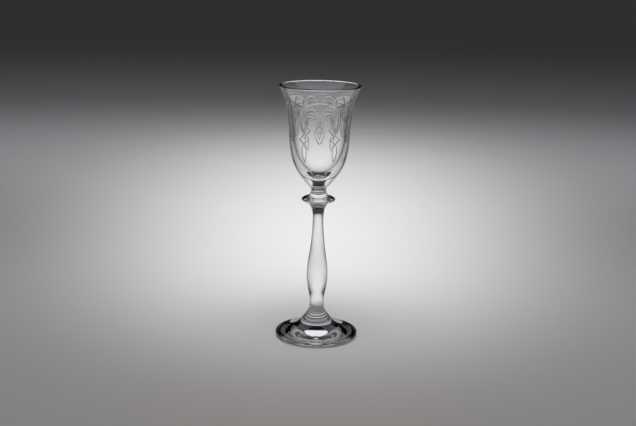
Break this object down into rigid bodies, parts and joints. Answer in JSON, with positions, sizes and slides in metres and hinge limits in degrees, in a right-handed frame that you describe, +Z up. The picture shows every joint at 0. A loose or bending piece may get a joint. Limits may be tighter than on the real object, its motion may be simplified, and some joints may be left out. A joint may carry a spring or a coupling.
{
  "type": "cordial glass",
  "caption": "Small stemmed drinking glass in clear glass: engraved flared bell bowl, collar and flattened knop on a baluster stem, with a conical foot; holds a measure of liqueur.",
  "frame": {"origin": "on the table, under the middle of the foot", "axes": "+Z up along the axis of the glass, through the middle of the rim; the glass is turned about it, so +X and +Y are alike"},
  "size_m": [0.0536, 0.0534, 0.165],
  "materials": {
    "clear_glass": "fire-polished clear glass, with a fine frosted engraving round the bowl"
  },
  "bodies": {
    "root": {"foot": "clear_glass", "baluster_stem": "clear_glass", "knop": "clear_glass", "merese": "clear_glass", "bowl": "clear_glass"}
  },
  "joints": []
}
